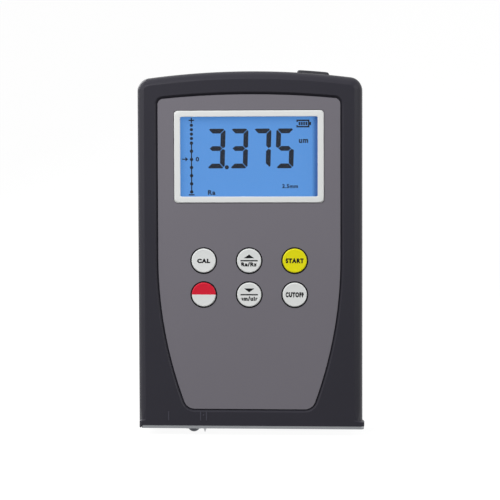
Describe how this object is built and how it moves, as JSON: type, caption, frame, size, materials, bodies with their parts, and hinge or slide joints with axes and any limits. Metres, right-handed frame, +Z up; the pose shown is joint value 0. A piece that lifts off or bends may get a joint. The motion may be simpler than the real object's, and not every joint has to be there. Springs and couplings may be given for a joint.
{
  "type": "surface roughness tester",
  "caption": "Palm-size surface roughness tester: arched black housing, grey panel with display and round keys, metal base with a window for a skidded stylus pickup.",
  "frame": {"origin": "centre of the measuring face, the underside of the base plate", "axes": "+Z up from the measuring face to the arched top, -Y out of the front panel, +X to the right as seen from the front"},
  "size_m": [0.0812, 0.0307, 0.1304],
  "materials": {
    "black_moulding": "fine matt moulding",
    "grey_panel": "satin grey print",
    "white_moulding": "satin white",
    "clear_window": "clear polished",
    "blue_cell": "lit display cell",
    "light_guide": "frosted",
    "green_board": "solder mask",
    "dark_parts": "black moulding",
    "yellow_key": "satin yellow",
    "red_key": "satin red and white",
    "steel": "bright machined",
    "aluminium": "fine ground",
    "brass": "turned",
    "cell_wrap": "plain wrap",
    "rubber": "matt rubber"
  },
  "bodies": {
    "housing": {"front_housing": "black_moulding", "rear_housing": "black_moulding", "front_panel": "grey_panel", "display_bezel": "white_moulding", "display_window": "clear_window", "lcd_cell": "blue_cell", "backlight": "light_guide", "main_board": "green_board", "board_chips": "dark_parts", "tact_switches": "dark_parts", "charge_jack": "dark_parts", "board_screws": "steel", "housing_screws": "steel", "base_screws": "steel", "bracket_screws": "steel", "guide_rod": "steel", "contact_plates": "steel", "contact_springs": "steel", "data_socket": "steel", "gear_motor": "steel", "base_plate": "aluminium", "drive_bracket": "aluminium", "screw_bushes": "brass", "battery_cell_1": "cell_wrap", "battery_cell_2": "cell_wrap", "battery_cell_3": "cell_wrap", "battery_cell_4": "cell_wrap"},
    "key_cal": {"key_cal": "white_moulding"},
    "key_up": {"key_up": "white_moulding"},
    "key_start": {"key_start": "yellow_key"},
    "key_power": {"key_power": "red_key"},
    "key_down": {"key_down": "white_moulding"},
    "key_cutoff": {"key_cutoff": "white_moulding"},
    "lead_screw": {"lead_screw": "steel"},
    "carriage": {"carriage": "aluminium", "pickup_pin": "steel"},
    "pickup": {"pickup_body": "aluminium", "skid": "steel", "stylus_pin": "steel"},
    "stylus": {"stylus_arm": "steel"},
    "battery_cover": {"battery_cover": "black_moulding"},
    "port_cover": {"port_cover": "rubber"}
  },
  "joints": [
    {"name": "key_cal_press", "type": "slide", "parent": "housing", "child": "key_cal", "axis": [0, 1, 0], "range_m": [0, 0.0005], "stiffness_N_per_m": 600},
    {"name": "key_up_press", "type": "slide", "parent": "housing", "child": "key_up", "axis": [0, 1, 0], "range_m": [0, 0.0005], "stiffness_N_per_m": 600},
    {"name": "key_start_press", "type": "slide", "parent": "housing", "child": "key_start", "axis": [0, 1, 0], "range_m": [0, 0.0005], "stiffness_N_per_m": 600},
    {"name": "key_power_press", "type": "slide", "parent": "housing", "child": "key_power", "axis": [0, 1, 0], "range_m": [0, 0.0005], "stiffness_N_per_m": 600},
    {"name": "key_down_press", "type": "slide", "parent": "housing", "child": "key_down", "axis": [0, 1, 0], "range_m": [0, 0.0005], "stiffness_N_per_m": 600},
    {"name": "key_cutoff_press", "type": "slide", "parent": "housing", "child": "key_cutoff", "axis": [0, 1, 0], "range_m": [0, 0.0005], "stiffness_N_per_m": 600},
    {"name": "screw_turn", "type": "hinge", "parent": "housing", "child": "lead_screw", "pos_m": [0, 0.004, 0.016], "axis": [1, 0, 0], "range_deg": [0, 4500]},
    {"name": "traverse", "type": "slide", "parent": "housing", "child": "carriage", "axis": [-1, 0, 0], "range_m": [0, 0.0125]},
    {"name": "pickup_float", "type": "hinge", "parent": "carriage", "child": "pickup", "pos_m": [0.002, -0.005, 0.008], "axis": [0, 1, 0], "range_deg": [0, 7], "stiffness_Nm_per_rad": 0.02, "springref_deg": -11.46},
    {"name": "stylus_swing", "type": "hinge", "parent": "pickup", "child": "stylus", "pos_m": [-0.007, -0.005, 0.0062], "axis": [0, 1, 0], "range_deg": [-1, 3], "stiffness_Nm_per_rad": 0.001, "springref_deg": -2.86},
    {"name": "battery_cover_lift", "type": "slide", "parent": "housing", "child": "battery_cover", "axis": [0, 1, 0], "range_m": [0, 0.03]},
    {"name": "port_cover_lift", "type": "slide", "parent": "housing", "child": "port_cover", "axis": [0, 0, 1], "range_m": [0, 0.012]}
  ],
  "couplings": [
    {"joint": "screw_turn", "follows": "traverse", "rad_per_m": 6283.2}
  ]
}
